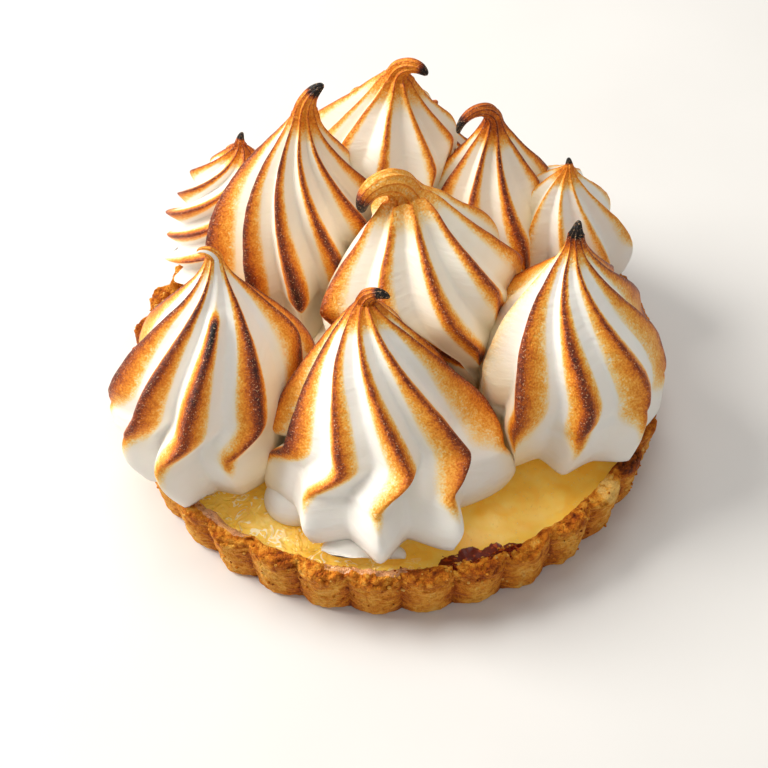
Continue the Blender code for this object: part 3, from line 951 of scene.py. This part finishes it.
def spotted(points, spots, uneven):
    """1 within any of the spots, given as middles and radii in millimetres, and 0 away from them."""
    mask = np.zeros(len(points))
    for middle, radius in spots:
        away = np.linalg.norm(points - np.array(middle) * MM, axis=1) / (radius * MM)
        mask = np.maximum(mask, eased(1.05, 0.7, away + 0.35 * uneven))
    return mask


# %% Build the crust


def build_crust():
    bm = turned_form(crust_section(), FLUTES * COLUMNS_A_FLUTE)
    points = points_of(bm)
    radius = np.hypot(points[:, 0], points[:, 1])
    height = points[:, 2].copy()
    angle = np.arctan2(points[:, 1], points[:, 0])
    crease = 1 - np.abs(np.cos(angle * FLUTES / 2)) ** CREASE_SHARPNESS
    outside = eased(RIM_RADIUS - WALL * 0.8, RIM_RADIUS - WALL * 0.3, radius)
    above_curd = eased(CURD_LEVEL, CASE_HEIGHT, height)
    depth = FLUTE_DEPTH * outside + INNER_FLUTE_DEPTH * above_curd * (1 - outside)
    rim = eased(CASE_HEIGHT * 0.62, CASE_HEIGHT * 0.95, height)
    wall = eased(FOOT_RADIUS - 3 * MM, FOOT_RADIUS - 1 * MM, radius)

    coarse = lumps(points, COARSE_PITCH, 3.0)
    medium = lumps(points, MEDIUM_PITCH, 7.0)
    fine = lumps(points, FINE_PITCH, 11.0)
    layered = lumps(points * LAYER_FLATNESS, LAYER_PITCH, 17.0)
    rough = 0.32 * coarse + 0.40 * medium + 0.14 * fine + 0.30 * layered
    crumbly = pebbles(points + 0.4 * MM * coarse[:, None], CRUMB_PITCH) - 0.5
    craggy = rough * (0.8 + 0.2 * rim) + crumbly * (0.15 + 0.25 * rim)
    reach = radius - depth * crease + wall * MM * craggy
    reach[radius < 1 * MM] = 0
    points[:, 0] = reach * np.cos(angle)
    points[:, 1] = reach * np.sin(angle)
    points[:, 2] += rim * MM * (0.65 * coarse + 0.58 * medium + 0.28 * fine + 0.60 * crumbly - 0.10)
    flake = rim * beside(angle, FLAKE_SIDE, FLAKE_SPREAD)
    scorched = rim * beside(angle, SCORCH_SIDE, SCORCH_SPREAD)
    points[:, 2] += FLAKE_RISE * flake
    move_points(bm, points)

    piece = piece_from(bm, "crust_baked", shortcrust)
    # Painted shade: on the rim the crevices between crumbs are darker and the crumbs' tops lighter, and
    # on the wall the flutes' creases are darker. The rest is browning and uneven tone.
    rim_browning_and_crevice_shade = (0.24 + 0.18 * coarse - 0.30 * crumbly) * rim
    wall_crease_shade_and_tone = (0.34 * crease + 0.10 * coarse) * (1 - rim)
    paint(piece, "browned", 0.26 + rim_browning_and_crevice_shade + wall_crease_shade_and_tone - 0.55 * flake + 0.32 * scorched)
    paint(piece, "syrup", spotted(points, SYRUP_SPOTS, medium))
    inside = eased(RIM_RADIUS - 1.6 * MM, RIM_RADIUS - 3 * MM, reach)
    paint(piece, "film", spotted(points, FILM_SPOTS, medium) * inside)
    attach(piece, "root")
    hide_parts("crust")
    return piece


crust = build_crust()
print("crust", len(crust.data.polygons), "faces")

# %% [markdown]
# Loose crumbs cling to the rim and the wall, some pale with sugar and some burnt. Each is a small
# squashed ball of twenty faces. They are sunk into points of the crust's own mesh, so that none
# hangs in the air, and all are joined in one piece.

# %% Crumbs
CRUMBS = 520
CRUMB_SMALLEST, CRUMB_LARGEST = 0.22 * MM, 0.62 * MM
CRUMB_STANDS_OUT = 0.3
RIM_FROM = CASE_HEIGHT * 0.75


def build_crumbs(crust):
    """Two crumbs in three sit on the rim, and the third on the wall outside."""
    rng = random.Random(12)
    points = crust.data.vertices
    rim = [vert for vert in points if vert.co.z > RIM_FROM and vert.co.xy.length > CURD_EDGE]
    wall = [vert for vert in points
            if 2 * MM < vert.co.z < RIM_FROM and vert.co.xy.length > FOOT_RADIUS - 2 * MM]
    bm = bmesh.new()
    shades = []
    for index in range(CRUMBS):
        seat = rng.choice(rim if index % 3 else wall)
        size = rng.triangular(CRUMB_SMALLEST, CRUMB_LARGEST, CRUMB_SMALLEST)
        squash = Matrix.Diagonal((1, rng.uniform(0.6, 1), rng.uniform(0.5, 0.9), 1))
        turn = Matrix.Rotation(rng.uniform(0, math.tau), 4, Vector((rng.random(), rng.random(), 1)))
        middle = seat.co + seat.normal * size * CRUMB_STANDS_OUT
        place = Matrix.Translation(middle) @ turn @ squash
        made = bmesh.ops.create_icosphere(bm, subdivisions=1, radius=size, matrix=place)
        shades += [rng.uniform(0.0, 0.75)] * len(made["verts"])
    piece = piece_from(bm, "crumbs", shortcrust)
    paint(piece, "browned", shades)
    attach(piece, "root")
    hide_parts("crust")
    return piece


crumbs = build_crumbs(crust)
print("crumbs", len(crumbs.data.polygons), "faces")

# %% [markdown]
# Lemon curd sets to a tender, glassy yellow. It is level in the middle, and its skin is drawn up
# where it clung to the pastry, so the edge is a ragged line where crumbs poke through. The piece
# is the same turned form with a fine top, and its gloss is a clear coat over a soft body colour,
# which glows faintly: painted light that stands in for light passing through the curd. At one side
# it is wetter, with thin squiggles of painted highlight in pale cream.

# %% Curd finish
CURD_STOPS = (
    (0.30, (0.96, 0.70, 0.20)),
    (0.50, (0.94, 0.58, 0.085)),
    (0.72, (0.88, 0.44, 0.030)),
)
BUBBLE_COLOUR = (0.97, 0.82, 0.42)
AMBER_COLOUR = (0.86, 0.40, 0.010)
# Painted highlight: the pale cream of the glints painted on the wet side.
PAINTED_GLINT_COLOUR = (1.0, 0.93, 0.74)
# Painted light: the curd glows faintly in this colour, standing in for light passing through it.
CURD_GLOW = (0.95, 0.52, 0.05)
NO_GLOW = (0.0, 0.0, 0.0)


def curd_finish():
    finish = Finish(
        "lemon_curd", Subsurface_Weight=0.25, Subsurface_Scale=4 * MM,
        Coat_Roughness=0.06, IOR=1.42, Emission_Strength=0.10,
    )
    cloud = finish.grain(9 * MM)
    spots = finish.grain(2.2 * MM, detail=4.0)
    colour = finish.ramp(cloud * 0.7 + spots * 0.3, *CURD_STOPS)
    bubbles = finish.grain(0.55 * MM, detail=1.0).between(0.66, 0.74)
    colour = finish.mixed(bubbles * 0.4, colour, BUBBLE_COLOUR)
    amber = finish.grain(5.5 * MM, detail=1.0).between(0.56, 0.66)
    colour = finish.mixed(amber * 0.45, colour, AMBER_COLOUR)
    wet = finish.attribute("wet")
    squiggles = finish.grain(3.4 * MM, detail=1.0, distortion=2.2)
    patches = finish.grain(6.0 * MM, detail=0.0).between(0.47, 0.53)
    # Painted highlight: thin pale squiggles in patches on the wet side stand in for glints of light on
    # its ripples.
    painted_glints = squiggles.between(0.53, 0.56) * (1 - squiggles.between(0.60, 0.66)) * wet * patches
    colour = finish.mixed(painted_glints * 0.85, colour, PAINTED_GLINT_COLOUR)
    syrup = finish.ragged("syrup", SYRUP_RAGGED)
    boiled = boiled_syrup(finish, 0.54, 0.68, (0.50, 0.08, 0.010))
    finish.feed("Base Color", finish.mixed(syrup, colour, boiled))
    # Painted light: a faint yellow glow everywhere but under the syrup.
    finish.feed("Emission Color", finish.mixed(syrup, CURD_GLOW, NO_GLOW))
    finish.feed("Coat Weight", 0.10 + wet * 0.90)
    finish.feed("Roughness", 0.40 - wet * 0.25)
    ripples = finish.grain(4.5 * MM, detail=2.0)
    finish.bump(ripples * (0.30 + wet * 0.9) + squiggles * wet * 0.6 + bubbles * 0.08, 1.2 * MM)
    return finish.material


lemon_curd = curd_finish()
print("curd nodes:", len(lemon_curd.node_tree.nodes))

# %% Build the curd
CURD_RINGS = 90
CURD_COLUMNS = 480
CURD_FOOT = FLOOR + 0.3 * MM
CURD_CLING = 1.7 * MM
CURD_CLIMB = 1.0 * MM
SWELL_PITCH, RAGGED_PITCH, TATTER_PITCH = 13 * MM, 3.2 * MM, 1.5 * MM
WET_SIDE = math.radians(-125)
WET_FROM, WET_FULL = 38 * MM, 47 * MM


def build_curd():
    top = [(CURD_EDGE * share, CURD_LEVEL) for share in np.linspace(0, 1, CURD_RINGS)]
    cling = [(CURD_EDGE + CURD_CLING * share, CURD_LEVEL) for share in np.linspace(0.125, 1, 8)]
    under = [(CURD_EDGE + CURD_CLING, CURD_LEVEL - 1.5 * MM), (CURD_EDGE - 1 * MM, CURD_FOOT)]
    bm = turned_form([*top, *cling, *under, (0.0, CURD_FOOT)], CURD_COLUMNS)
    points = points_of(bm)
    radius = np.hypot(points[:, 0], points[:, 1])
    angle = np.arctan2(points[:, 1], points[:, 0])
    upper = points[:, 2] > CURD_LEVEL - 0.1 * MM

    swell = lumps(points, SWELL_PITCH, 5.0)
    ragged = lumps(points, RAGGED_PITCH, 9.0)
    tatters = lumps(points, TATTER_PITCH, 23.0)
    burst = spotted(points, SYRUP_SPOTS, ragged)
    climb = eased(CURD_EDGE - 2.5 * MM, CURD_EDGE + CURD_CLING, radius)
    lift = CURD_CLIMB * climb * (1 + 0.45 * ragged + 0.3 * swell) + 0.25 * MM * tatters * climb
    drawn = 1 + climb * (0.8 * ragged + 0.5 * tatters) * MM / CURD_EDGE
    points[:, 2] += np.where(upper, burst * (0.5 * tatters + 0.5 * ragged) * MM, 0)
    points[:, :2] *= drawn[:, None]
    points[:, 2] += np.where(upper, 0.30 * MM * swell + 0.08 * MM * ragged + lift, 0)
    move_points(bm, points)

    piece = piece_from(bm, "curd_set", lemon_curd)
    wet_side = eased(0.7, 0.97, np.cos(angle - WET_SIDE))
    paint(piece, "wet", wet_side * eased(WET_FROM, WET_FULL, radius))
    outer = eased(CURD_EDGE - 5 * MM, CURD_EDGE - 3 * MM, radius)
    paint(piece, "syrup", spotted(points, SYRUP_SPOTS, ragged) * outer)
    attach(piece, "root")
    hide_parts("curd")
    return piece


curd = build_curd()
print("curd", len(curd.data.polygons), "faces")

# %% [markdown]
# The floor is one pale square with a faint uneven tint, large enough to fill the camera's picture.
# It is no part of the tart.

# %% Floor
SHEET_SIDE = 1.6
SHEET_STOPS = ((0.3, (0.74, 0.73, 0.71)), (0.7, (0.77, 0.76, 0.74)))


def build_floor():
    bm = bmesh.new()
    bmesh.ops.create_grid(bm, x_segments=1, y_segments=1, size=SHEET_SIDE / 2)
    finish = Finish("pale_floor", Roughness=0.75)
    tint = finish.grain(60 * MM, detail=2.0)
    finish.feed("Base Color", finish.ramp(tint, *SHEET_STOPS))
    piece = piece_from(bm, "floor", finish.material)
    return piece


floor = build_floor()
print("floor", SHEET_SIDE, "m wide")

# %% [markdown]
